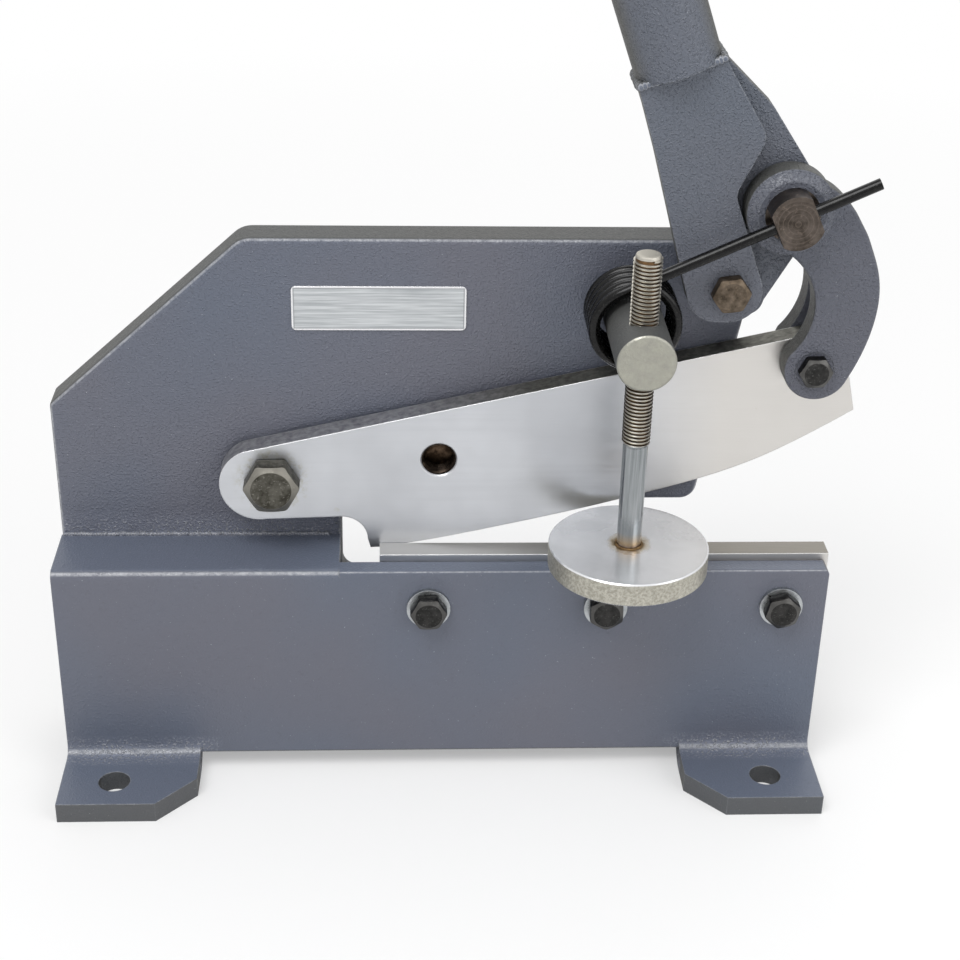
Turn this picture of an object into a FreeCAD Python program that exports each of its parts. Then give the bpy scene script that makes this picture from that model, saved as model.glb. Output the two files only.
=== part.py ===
import FreeCAD, Part
import math
import os
from FreeCAD import Vector

# Hand plate shear with 250 mm blades, for bolting to a bench, in millimetres.
# X runs along the blades, +Y away from the operator and +Z up. The origin is on the bench,
# midway between the two front foot bolts.

# Layers, from the operator to the back
bolts_to_shear = 52.0
front_t = 12.0
lower_blade_t = 13.0
shear_gap = 0.2
upper_blade_t = 14.0
pivot_washer_t = 3.0
rear_t = 20.0
shear_y = bolts_to_shear
front_y = shear_y - shear_gap - lower_blade_t - front_t
front_back_y = front_y + front_t
upper_back_y = shear_y + upper_blade_t
rear_y = upper_back_y + pivot_washer_t
rear_back_y = rear_y + rear_t

# Frame
frame_w = 425.0
half_w = frame_w / 2
shoulder_z = 131.2
shoulder_t = 12.0
shoulder_bend = 4.5
shoulder_inner_bend = 2.0
front_edge_r = 1.6
front_corner_r = 3.0
foot_w = 75.0
foot_reach = 47.0
foot_bend = 6.0
foot_corner_x = 21.0
foot_corner_y = 22.0
foot_bolt_inset = 29.5
foot_bolt_spacing = frame_w - 2 * foot_bolt_inset
foot_hole_r = 8.75
rear_top_z = 307.0
rear_corner_z = 211.5
rear_slope_x = 106.5
rear_edge_r = 3.0
throat_low_z = 100.0
throat_top_z = 152.7
jaw_end_x = half_w
arm_low_x = 141.2
arm_top_x = 167.5
rear_foot_depth = 68.0
rear_bolt_spacing = frame_w - 145.0
rear_bolt_from_edge = 22.0
tie_w = 50.0
tie_h = 40.0

# Blades
lower_blade_len = 249.0
lower_blade_h = 52.0
lower_blade_above = 3.8
lower_blade_x = half_w + 1.5 - lower_blade_len
blade_to_shoulder = 22.0
shoulder_end_x = lower_blade_x - blade_to_shoulder
throat_end_x = shoulder_end_x + 0.5
blade_bolt_edge = 26.8
blade_bolt_pitch = (lower_blade_len - 2 * blade_bolt_edge) / 2
blade_bolt_drop = 26.3
upper_hole_x = -2.7
upper_hole_z = 186.8
upper_hole_r = 9.4
upper_hole_deep = 11.0
upper_hole_chamfer = 0.8

# Pivots, as x and z on the blade plane
blade_pivot = (-93.2, 173.9)
lever_pivot = (145.5, 290.0)
crank_pin = (172.4, 333.5)
blade_link = (193.5, 247.0)
running = 0.05
face_gap = 0.1

# Lever
handle_lean = 20.0
handle_base = (128.0, 360.0)
handle_plate_t = 11.5
lever_end_r = 17.0
crank_end_r = 19.5
plate_top_rise = 46.0
socket_len = 100.0
socket_r = 22.0
socket_wall = 4.7
socket_floor = 5.0
handle_len = 430.0
handle_wall = 3.2
grip_len = 130.0
grip_wall = 3.2
grip_end = 6.0

# Links
link_t = 13.0
link_gap = 1.0
link_head_r = 22.8
rear_link_head_r = 17.0
link_foot_r = 17.5
rear_link_foot_r = 15.5
link_foot_x = 1.5
hub_r = 21.5
hub_top_r = 17.4
hub_rise = 3.0
pin_r = 14.0
pin_beyond_hub = 13.5
pin_flat_half = 10.75
pin_flange_r = 15.5
pin_flange_t = 2.5
link_seat_r = 10.2
link_seat_deep = 0.4
slot_back = (-3.4, -1.6)
slot_ahead = (10.2, 4.2)
slot_side_room = 1.3

# The hooked back of the links, from the crank pin down, then from the link bolt up and round
link_upper_back = [(25.1, 8.9), (28.7, 5.4), (32.9, 0.5), (36.6, -5.5), (40.2, -11.5),
                   (43.4, -18.6), (48.0, -30.5), (50.6, -46.4)]
link_lower_back = [(28.8, 28.1), (26.2, 15.4)]
link_inner = (17.5, -52.5)
rear_link_upper_back = [(22.0, -5.6), (28.0, -9.4), (33.2, -14.0), (38.6, -20.5), (44.5, -32.0),
                        (48.2, -46.4)]
rear_link_inner = (19.7, -52.5)

# Return spring
wire_r = 3.0
coil_r = 21.5
coil_pitch = 6.6
coil_to_shear = 23.2
coil_turns = 4.5
coil_end_swell = 0.15
leg_to_shear = 24.0
leg_beyond_pin = 45.0
leg_start_gap = 0.3
leg_hole_r = 3.35
leg_hole_play = 2.1
tail_depth = 10.0
tail_hole_r = 3.3

# Hold-down
post_xz = (96.5, 274.3)
post_r = 15.0
rod_to_shear = 48.0
post_beyond_rod = 19.0
rod_r = 7.0
rod_top_z = 325.0
rod_chamfer = 1.2
disc_r = 42.3
disc_t = 13.0
disc_top_z = 162.0
disc_edge = 0.7
post_edge = 0.8

# Fasteners: shank radius, width across flats, head height
blade_bolt = (6.0, 18.0, 7.5)
pivot_bolt = (9.0, 27.0, 11.5)
lever_bolt = (7.0, 18.0, 7.5)
link_bolt = (5.0, 16.0, 6.4)
socket_screw = (4.0, 13.0, 5.3)
washer_r = 12.0
washer_t = 2.5
pivot_washer_r = 19.0
lever_washer_r = 13.0
clearance_hole = 0.5
nut_ratio = 0.9
crown_ratio = 0.9
bolt_end = 3.0

# Nameplate
nameplate_x = -81.0
nameplate_w = 92.3
nameplate_top_z = 281.0
nameplate_h = 25.0
nameplate_t = 0.8
nameplate_r = 2.5


def xz(point, y=0.0):
    return Vector(point[0], y, point[1])


def outline(start, *steps):
    # A step is a point for a straight run, or a pair of points for an arc through the first.
    edges = []
    here = start
    for step in steps:
        if isinstance(step, tuple) and isinstance(step[0], tuple):
            middle, end = step
            edges.append(Part.Arc(xz(here), xz(middle), xz(end)).toShape())
        elif isinstance(step, list):
            # A list is a smooth curve through all its points.
            end = step[-1]
            curve = Part.BSplineCurve()
            curve.interpolate([xz(here)] + [xz(p) for p in step])
            edges.append(curve.toShape())
        else:
            end = step
            edges.append(Part.LineSegment(xz(here), xz(end)).toShape())
        here = end
    return Part.Wire(edges)


def rounded(corners):
    # Closed outline from corners given as x, z and corner radius.
    count = len(corners)
    runs = []
    for i in range(count):
        x, z, radius = corners[i]
        corner = Vector(x, 0, z)
        before = Vector(corners[i - 1][0], 0, corners[i - 1][1]) - corner
        after = Vector(corners[(i + 1) % count][0], 0, corners[(i + 1) % count][1]) - corner
        before.normalize()
        after.normalize()
        if radius == 0:
            runs.append((corner, None, corner))
            continue
        half = before.getAngle(after) / 2
        setback = radius / math.tan(half)
        inward = (before + after).normalize()
        middle = corner + inward * (radius / math.sin(half) - radius)
        runs.append((corner + before * setback, middle, corner + after * setback))
    edges = []
    for i, (arrive, middle, leave) in enumerate(runs):
        if middle is not None:
            edges.append(Part.Arc(arrive, middle, leave).toShape())
        following = runs[(i + 1) % count][0]
        if leave.distanceToPoint(following) > 1e-6:
            edges.append(Part.LineSegment(leave, following).toShape())
    return Part.Wire(edges)


def plate(wire, y, thickness):
    face = Part.Face(wire)
    solid = face.extrude(Vector(0, thickness, 0))
    solid.translate(Vector(0, y, 0))
    return solid


def rod_y(centre, radius, y0, y1):
    return Part.makeCylinder(radius, y1 - y0, xz(centre, y0), Vector(0, 1, 0))


def hexagon_y(centre, across_flats, y0, y1):
    corner = across_flats / math.sqrt(3)
    points = []
    for i in range(7):
        angle = math.radians(60 * i)
        points.append(Vector(centre[0] + corner * math.cos(angle), y0,
                             centre[1] + corner * math.sin(angle)))
    prism = Part.Face(Part.makePolygon(points)).extrude(Vector(0, y1 - y0, 0))
    return prism


def rounded_hexagon(centre, across_flats, y0, y1, crown_at_front):
    # Hexagon whose corners on one end are turned off at 30 degrees, as on a real head or nut.
    prism = hexagon_y(centre, across_flats, y0, y1)
    corner = across_flats / math.sqrt(3)
    height = y1 - y0
    flat_r = across_flats / 2 * crown_ratio
    slope = math.tan(math.radians(30))
    drop = (corner - flat_r) * slope
    if crown_at_front:
        cone = Part.makeCone(flat_r, corner, drop, xz(centre, y0), Vector(0, 1, 0))
        body = rod_y(centre, corner, y0 + drop, y1)
    else:
        cone = Part.makeCone(corner, flat_r, drop, xz(centre, y1 - drop), Vector(0, 1, 0))
        body = rod_y(centre, corner, y0, y0 + height - drop)
    return prism.common(cone.fuse(body))


def hex_bolt(centre, size, head_seat_y, end_y):
    shank_r, across_flats, head_h = size
    head = rounded_hexagon(centre, across_flats, head_seat_y - head_h, head_seat_y, True)
    shank = rod_y(centre, shank_r, head_seat_y, end_y)
    return head.fuse(shank)


def hex_nut(centre, size, y0):
    shank_r, across_flats, _ = size
    height = 2 * shank_r * nut_ratio
    nut = rounded_hexagon(centre, across_flats, y0, y0 + height, False)
    return nut.cut(rod_y(centre, shank_r + running, y0 - 1, y0 + height + 1))


def washer(centre, outer_r, inner_r, y0, y1):
    return rod_y(centre, outer_r, y0, y1).cut(rod_y(centre, inner_r, y0 - 1, y1 + 1))


def perimeter_fillet(solid, y, radius, skip_box=None):
    # Rounds the edges of a plate that lie in the plane y, except those inside skip_box.
    edges = []
    for edge in solid.Edges:
        box = edge.BoundBox
        if abs(box.YMin - y) > 1e-4 or abs(box.YMax - y) > 1e-4:
            continue
        if skip_box is not None and skip_box.isInside(box):
            continue
        edges.append(edge)
    return solid.makeFillet(radius, edges)


# Frame pieces

def front_section(with_foot, with_shoulder):
    # Section of the bent front plate in the YZ plane.
    top = shoulder_z
    edges = []

    def point(y, z):
        return Vector(0, y, z)

    def line(a, b):
        edges.append(Part.LineSegment(point(*a), point(*b)).toShape())

    def arc(a, centre, b):
        # Quarter arc from a to b, through the point halfway round.
        radius = math.hypot(a[0] - centre[0], a[1] - centre[1])
        my, mz = (a[0] + b[0]) / 2 - centre[0], (a[1] + b[1]) / 2 - centre[1]
        size = math.hypot(my, mz)
        middle = (centre[0] + my / size * radius, centre[1] + mz / size * radius)
        edges.append(Part.Arc(point(*a), point(*middle), point(*b)).toShape())

    if with_foot:
        outer = foot_bend + front_t
        toe = front_y - foot_reach
        line((toe, 0), (front_back_y - outer, 0))
        arc((front_back_y - outer, 0), (front_back_y - outer, outer), (front_back_y, outer))
        low_back = (front_back_y, outer)
    else:
        low_back = (front_back_y, front_t)
        line((front_y, front_t), low_back)
    if with_shoulder:
        under = top - shoulder_t
        bend = shoulder_inner_bend
        line(low_back, (front_back_y, under - bend))
        arc((front_back_y, under - bend), (front_back_y + bend, under - bend),
            (front_back_y + bend, under))
        line((front_back_y + bend, under), (rear_y, under))
        line((rear_y, under), (rear_y, top))
        line((rear_y, top), (front_y + shoulder_bend, top))
        arc((front_y + shoulder_bend, top), (front_y + shoulder_bend, top - shoulder_bend),
            (front_y, top - shoulder_bend))
        high_front = (front_y, top - shoulder_bend)
    else:
        r = front_edge_r
        line(low_back, (front_back_y, top - r))
        arc((front_back_y, top - r), (front_back_y - r, top - r), (front_back_y - r, top))
        line((front_back_y - r, top), (front_y + r, top))
        arc((front_y + r, top), (front_y + r, top - r), (front_y, top - r))
        high_front = (front_y, top - r)
    if with_foot:
        line(high_front, (front_y, front_t + foot_bend))
        arc((front_y, front_t + foot_bend), (front_y - foot_bend, front_t + foot_bend),
            (front_y - foot_bend, front_t))
        line((front_y - foot_bend, front_t), (toe, front_t))
        line((toe, front_t), (toe, 0))
    else:
        line(high_front, (front_y, front_t))
    return Part.Face(Part.Wire(edges))


def front_run(x0, x1, with_foot, with_shoulder):
    run = front_section(with_foot, with_shoulder).extrude(Vector(x1 - x0, 0, 0))
    run.translate(Vector(x0, 0, 0))
    return run


def bolt_places():
    middle = lower_blade_x + lower_blade_len / 2
    z = shoulder_z + lower_blade_above - blade_bolt_drop
    return [(middle + (i - 1) * blade_bolt_pitch, z) for i in range(3)]


def make_front_plate():
    foot_in = half_w - foot_w
    body = front_run(-half_w, -foot_in, True, True)
    body = body.fuse(front_run(-foot_in, shoulder_end_x, False, True))
    body = body.fuse(front_run(shoulder_end_x, foot_in, False, False))
    body = body.fuse(front_run(foot_in, half_w, True, False)).removeSplitter()
    toe = front_y - foot_reach
    for side in (-1, 1):
        corner = Part.makePolygon([
            Vector(side * foot_in, toe, -1),
            Vector(side * (foot_in + foot_corner_x), toe, -1),
            Vector(side * foot_in, toe + foot_corner_y, -1),
            Vector(side * foot_in, toe, -1)])
        body = body.cut(Part.Face(corner).extrude(Vector(0, 0, front_t + 2)))
        hole_x = side * foot_bolt_spacing / 2
        body = body.cut(Part.makeCylinder(foot_hole_r, front_t + 2, Vector(hole_x, 0, -1)))
    r = front_corner_r
    corner = Part.makeBox(r + 1, front_t + 2, r + 1,
                          Vector(half_w - r, front_y - 1, shoulder_z - r))
    body = body.cut(corner.cut(rod_y((half_w - r, shoulder_z - r), r, front_y - 2,
                                     front_back_y + 2)))
    for place in bolt_places():
        body = body.cut(rod_y(place, blade_bolt[0] + clearance_hole, front_y - 1,
                              front_back_y + 1))
    return body


def make_rear_plate():
    wire = rounded([
        (-half_w, front_t, 0),
        (jaw_end_x, front_t, 0),
        (jaw_end_x, throat_low_z, 8),
        (throat_end_x, throat_low_z, 8),
        (throat_end_x, throat_top_z, 6),
        (arm_low_x, throat_top_z, 9),
        (arm_top_x, rear_top_z, 17),
        (-rear_slope_x, rear_top_z, 14),
        (-half_w, rear_corner_z, 4)])
    body = plate(wire, rear_y, rear_t)
    body = perimeter_fillet(body, rear_y, rear_edge_r,
                            FreeCAD.BoundBox(-half_w - 1, rear_y - 1, 0,
                                             jaw_end_x + 1, rear_y + 1, front_t + 1))
    body = body.cut(rod_y(blade_pivot, pivot_bolt[0] + running, rear_y - 1, rear_back_y + 1))
    body = body.cut(rod_y(lever_pivot, lever_bolt[0] + running, rear_y - 1, rear_back_y + 1))
    body = body.cut(rod_y(coil_tail_place(), tail_hole_r, rear_y - 1, rear_y + tail_depth + 1))
    return body


def make_rear_foot():
    depth = rear_foot_depth
    low = -half_w
    body = Part.makeBox(jaw_end_x - low, depth, front_t, Vector(low, rear_y, 0))
    corners = [e for e in body.Edges
               if abs(e.BoundBox.ZLength - front_t) < 1e-6
               and e.BoundBox.YMin > rear_y + depth - 1]
    body = body.makeFillet(8, corners)
    middle = (low + jaw_end_x) / 2
    for side in (-1, 1):
        hole = Part.makeCylinder(foot_hole_r, front_t + 2,
                                 Vector(middle + side * rear_bolt_spacing / 2,
                                        rear_y + depth - rear_bolt_from_edge, -1))
        body = body.cut(hole)
    return body


def make_tie(x0):
    tie = Part.makeBox(tie_w, rear_y - front_back_y, tie_h,
                       Vector(x0, front_back_y, front_t + foot_bend + 6))
    return tie


# Blades

def make_lower_blade():
    top = shoulder_z + lower_blade_above
    blade = Part.makeBox(lower_blade_len, lower_blade_t, lower_blade_h,
                         Vector(lower_blade_x, front_back_y, top - lower_blade_h))
    for place in bolt_places():
        blade = blade.cut(rod_y(place, blade_bolt[0] + running, front_back_y - 1, shear_y + 1))
    return blade


def make_upper_blade():
    wire = outline(
        (-96.7, 150.4),
        ((-121.8, 173.5), (-108.7, 191.5)),
        (209.5, 265.0),
        (221.0, 217.2),
        [(198.8, 203.1), (172.8, 188.6), (141.0, 175.6), (111.0, 166.4), (81.0, 158.0),
         (38.0, 147.3), (-7.0, 137.3), (-35.1, 132.5)],
        (-40.0, 132.3),
        (-41.5, 137.8),
        ((-45.6, 147.6), (-55.5, 151.8)),
        (-96.7, 150.4))
    blade = plate(wire, shear_y, upper_blade_t)
    y0, y1 = shear_y - 1, upper_back_y + 1
    blade = blade.cut(rod_y(blade_pivot, pivot_bolt[0] + running, y0, y1))
    hole = (upper_hole_x, upper_hole_z)
    blade = blade.cut(rod_y(hole, upper_hole_r, y0, shear_y + upper_hole_deep))
    blade = blade.cut(Part.makeCone(upper_hole_r + upper_hole_chamfer, upper_hole_r,
                                    upper_hole_chamfer, xz(hole, shear_y), Vector(0, 1, 0)))
    # The link bolt swings along this slot, because the link opens the closed chain here.
    slot_r = link_bolt[0] + slot_side_room
    ends = [(blade_link[0] + dx, blade_link[1] + dz) for dx, dz in (slot_back, slot_ahead)]
    slot = rod_y(ends[0], slot_r, y0, y1).fuse(rod_y(ends[1], slot_r, y0, y1))
    along = xz(ends[1]) - xz(ends[0])
    across = Vector(-along.z, 0, along.x).normalize() * slot_r
    base = xz(ends[0], y0)
    sides = [base + across, base + across + along, base - across + along, base - across]
    face = Part.Face(Part.makePolygon(sides + sides[:1]))
    slot = slot.fuse(face.extrude(Vector(0, y1 - y0, 0)))
    return blade.cut(slot)


# Lever

def lean_vector():
    lean = math.radians(handle_lean)
    return Vector(-math.sin(lean), 0, math.cos(lean))


def handle_point(along, across=0.0):
    # A point by its distance up the handle's axis and to its right.
    up = lean_vector()
    right = Vector(up.z, 0, -up.x)
    base = xz(handle_base)
    place = base + up * along + right * across
    return (place.x, place.z)


def lever_centre_y():
    return (shear_y - handle_plate_t + upper_back_y) / 2


def make_crank_plate():
    px, pz = lever_pivot
    cx, cz = crank_pin
    wire = rounded([
        (px - 17.0, pz - 17.5, 15),
        (px + 19.0, pz - 17.5, 9),
        (px + 20.0, pz - 9.5, 5),
        (cx + 22.8, cz + 1.3, crank_end_r),
        (cx - 11.4, cz + 50.5, 14),
        handle_point(plate_top_rise, socket_r) + (0,),
        handle_point(plate_top_rise, -socket_r) + (0,),
        handle_point(0.0, -22.0) + (40,)])
    crank = plate(wire, shear_y, upper_blade_t)
    y0, y1 = shear_y - 1, upper_back_y + 1
    crank = crank.cut(rod_y(lever_pivot, lever_bolt[0] + running, y0, y1))
    return crank.cut(rod_y(crank_pin, pin_r + running, y0, y1))


def make_handle_plate():
    px, pz = lever_pivot
    wire = rounded([
        (132.2 - 5.0, pz - lever_end_r, lever_end_r),
        (169.5, pz - lever_end_r, lever_end_r - 0.5),
        (143.8, 342.0, 9),
        (157.5, 371.5, 10),
        handle_point(plate_top_rise, socket_r) + (0,),
        handle_point(plate_top_rise, -socket_r) + (0,),
        (102.2, 362.0, 60)])
    y = shear_y - handle_plate_t
    body = plate(wire, y, handle_plate_t)
    return body.cut(rod_y(lever_pivot, lever_bolt[0] + running, y - 1, shear_y + 1))


def handle_cylinder(radius, start, end):
    x, z = handle_point(start)
    return Part.makeCylinder(radius, end - start, Vector(x, lever_centre_y(), z), lean_vector())


def screw_along():
    return plate_top_rise + socket_len * 0.7


def make_socket():
    start = plate_top_rise
    tube = handle_cylinder(socket_r, start, start + socket_len)
    bore = handle_cylinder(socket_r - socket_wall + running, start + socket_floor,
                           start + socket_len + 1)
    place = handle_point(screw_along())
    y = lever_centre_y()
    return tube.cut(bore).cut(rod_y(place, socket_screw[0] + running, y - socket_r - 2, y))


def make_handle_tube():
    start = plate_top_rise + socket_floor
    radius = socket_r - socket_wall
    tube = handle_cylinder(radius, start, start + handle_len)
    return tube.cut(handle_cylinder(radius - handle_wall, start - 1, start + handle_len + 1))


def make_grip():
    tube_r = socket_r - socket_wall
    end = plate_top_rise + socket_floor + handle_len
    sleeve = handle_cylinder(tube_r + grip_wall, end - grip_len, end + grip_end)
    sleeve = sleeve.cut(handle_cylinder(tube_r + running, end - grip_len - 1, end))
    rims = [e for e in sleeve.Edges
            if e.Curve.TypeId == 'Part::GeomCircle' and abs(e.Curve.Radius - tube_r - grip_wall) < 1e-4]
    return sleeve.makeFillet(2.5, rims)


def make_socket_screw():
    y = lever_centre_y()
    tube_r = socket_r - socket_wall
    place = handle_point(screw_along())
    return hex_bolt(place, socket_screw, y - socket_r - 1.5, y - tube_r - 0.2)


# Links

def from_point(centre, radius, degrees):
    angle = math.radians(degrees)
    return (centre[0] + radius * math.cos(angle), centre[1] + radius * math.sin(angle))


def link_outline(head_r, head_angle, foot_r, foot_angle, upper_back, inside):
    foot = (blade_link[0] + link_foot_x, blade_link[1])
    head_low = from_point(crank_pin, head_r, -86)
    head_right = from_point(crank_pin, head_r, head_angle)
    foot_right = from_point(foot, foot_r, foot_angle)
    foot_left = from_point(foot, foot_r, 152)
    back = [head_right]
    back += [(crank_pin[0] + dx, crank_pin[1] + dz) for dx, dz in upper_back]
    back += [(blade_link[0] + dx, blade_link[1] + dz) for dx, dz in link_lower_back]
    back.append(foot_right)
    curve = Part.BSplineCurve()
    curve.interpolate([xz(p) for p in back])
    inner = (crank_pin[0] + inside[0], crank_pin[1] + inside[1])
    return Part.Wire([
        Part.Arc(xz(head_low), xz(from_point(crank_pin, head_r, 155)), xz(head_right)).toShape(),
        curve.toShape(),
        Part.Arc(xz(foot_right), xz(from_point(foot, foot_r, -135)), xz(foot_left)).toShape(),
        Part.Arc(xz(foot_left), xz(inner), xz(head_low)).toShape()])


def make_link_front():
    y1 = shear_y - link_gap
    y0 = y1 - link_t
    body = plate(link_outline(link_head_r, 36, link_foot_r, -21, link_upper_back, link_inner),
                 y0, link_t)
    body = perimeter_fillet(body, y0, 1.5)
    hub = Part.makeCone(hub_r, hub_top_r, hub_rise, xz(crank_pin, y0), Vector(0, -1, 0))
    body = body.fuse(hub)
    body = body.cut(rod_y(crank_pin, pin_r + running, y0 - hub_rise - 1, y1 + 1))
    body = body.cut(rod_y(blade_link, link_seat_r, y0 - 1, y0 + link_seat_deep))
    return body.cut(rod_y(blade_link, link_bolt[0] + running, y0 - 1, y1 + 1))


def make_link_rear():
    y0 = upper_back_y + link_gap
    y1 = y0 + link_t
    body = plate(link_outline(rear_link_head_r, -8, rear_link_foot_r, -27, rear_link_upper_back,
                              rear_link_inner), y0, link_t)
    body = body.cut(rod_y(crank_pin, pin_r + running, y0 - 1, y1 + 1))
    return body.cut(rod_y(blade_link, link_bolt[0] + running, y0 - 1, y1 + 1))


def make_link_pin():
    hub_y = shear_y - link_gap - link_t - hub_rise
    front = hub_y - pin_beyond_hub
    back = upper_back_y + link_gap + link_t
    pin = rod_y(crank_pin, pin_r, front, back + face_gap)
    pin = pin.fuse(rod_y(crank_pin, pin_flange_r, back + face_gap, back + face_gap + pin_flange_t))
    angle = leg_angle()
    along = Vector(math.cos(angle), 0, math.sin(angle))
    across = Vector(-along.z, 0, along.x)
    slab = 2 * pin_r
    for side in (-1, 1):
        base = xz(crank_pin, front - 1) + along * (side * pin_flat_half) - across * slab
        face = Part.makePolygon([base, base + across * (2 * slab),
                                 base + across * (2 * slab) + along * (side * slab),
                                 base + along * (side * slab), base])
        depth = hub_y - front + 1 - 0.5
        pin = pin.cut(Part.Face(face).extrude(Vector(0, depth, 0)))
    # The leg's hole is an oval, longer below the pin's axis than above it.
    y = shear_y - leg_to_shear
    start = xz(crank_pin, y) - along * slab
    low = start - across * leg_hole_play
    hole = Part.makeCylinder(leg_hole_r, 2 * slab, start, along)
    hole = hole.fuse(Part.makeCylinder(leg_hole_r, 2 * slab, low, along))
    side = Vector(0, leg_hole_r, 0)
    face = Part.makePolygon([start - side, start + side, low + side, low - side, start - side])
    hole = hole.fuse(Part.Face(face).extrude(along * (2 * slab)))
    return pin.cut(hole)


# Return spring

def leg_angle():
    dx = crank_pin[0] - post_xz[0]
    dz = crank_pin[1] - post_xz[1]
    return math.atan2(dz, dx) - math.asin(coil_r / math.hypot(dx, dz))


def coil_front_angle():
    return leg_angle() + math.pi / 2


def coil_tail_angle():
    return coil_front_angle() + 2 * math.pi * coil_turns


def coil_place(angle):
    return (post_xz[0] + coil_r * math.cos(angle), post_xz[1] + coil_r * math.sin(angle))


def coil_tail_place():
    return coil_place(coil_tail_angle())


def make_spring_coil():
    front_end = shear_y - coil_to_shear
    length = coil_pitch * coil_turns
    back_end = front_end + length
    # Made round the Z axis from the tail up, clockwise as seen from the front once it is turned.
    helix = Part.makeLongHelix(coil_pitch, length, coil_r, 0, True)
    slope = coil_pitch / (2 * math.pi * coil_r)
    start = Vector(coil_r, 0, 0)
    ring = Part.Wire(Part.makeCircle(wire_r, start, Vector(0, -1, slope)))
    coil = Part.Wire(helix.Edges).makePipeShell([ring], True, True)
    straight = Part.makeCylinder(wire_r, rear_y + tail_depth - back_end, start,
                                 Vector(0, 0, -1))
    coil = coil.fuse(straight.fuse(Part.makeSphere(wire_r + coil_end_swell, start)))
    coil.rotate(Vector(0, 0, 0), Vector(1, 0, 0), 90)
    coil.rotate(Vector(0, 0, 0), Vector(0, -1, 0), math.degrees(coil_tail_angle()))
    coil.translate(xz(post_xz, back_end))
    return coil


def make_spring_leg():
    y = shear_y - leg_to_shear
    angle = leg_angle()
    along = Vector(math.cos(angle), 0, math.sin(angle))
    start = xz(coil_place(coil_front_angle()), y) + along * leg_start_gap
    length = (xz(crank_pin, y) - start).dot(along) + leg_beyond_pin
    leg = Part.makeCylinder(wire_r, length, start, along)
    end = start + along * length
    tip = [e for e in leg.Edges if e.BoundBox.Center.distanceToPoint(end) < wire_r]
    return leg.makeChamfer(0.8, [e for e in tip if e.Curve.TypeId == 'Part::GeomCircle'])


# Hold-down

def rod_line_y():
    return shear_y - rod_to_shear


def make_post():
    y0 = rod_line_y() - post_beyond_rod
    post = rod_y(post_xz, post_r, y0, rear_y)
    rim = [e for e in post.Edges if e.Curve.TypeId == 'Part::GeomCircle' and e.BoundBox.YMax < y0 + 1]
    post = post.makeChamfer(post_edge, rim)
    hole = Part.makeCylinder(rod_r + running, 4 * post_r,
                             Vector(post_xz[0], rod_line_y(), post_xz[1] - 2 * post_r))
    return post.cut(hole)


def make_rod():
    rod = Part.makeCylinder(rod_r, rod_top_z - disc_top_z,
                            Vector(post_xz[0], rod_line_y(), disc_top_z))
    top = [e for e in rod.Edges if e.BoundBox.ZMin > rod_top_z - 0.1]
    return rod.makeChamfer(rod_chamfer, top)


def make_disc():
    disc = Part.makeCylinder(disc_r, disc_t,
                             Vector(post_xz[0], rod_line_y(), disc_top_z - disc_t))
    rims = [e for e in disc.Edges if e.Curve.TypeId == 'Part::GeomCircle']
    return disc.makeChamfer(disc_edge, rims)


def make_nameplate():
    x0, x1 = nameplate_x, nameplate_x + nameplate_w
    z1 = nameplate_top_z
    z0 = z1 - nameplate_h
    r = nameplate_r
    wire = rounded([(x0, z0, r), (x1, z0, r), (x1, z1, r), (x0, z1, r)])
    return plate(wire, rear_y - nameplate_t, nameplate_t)


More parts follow.
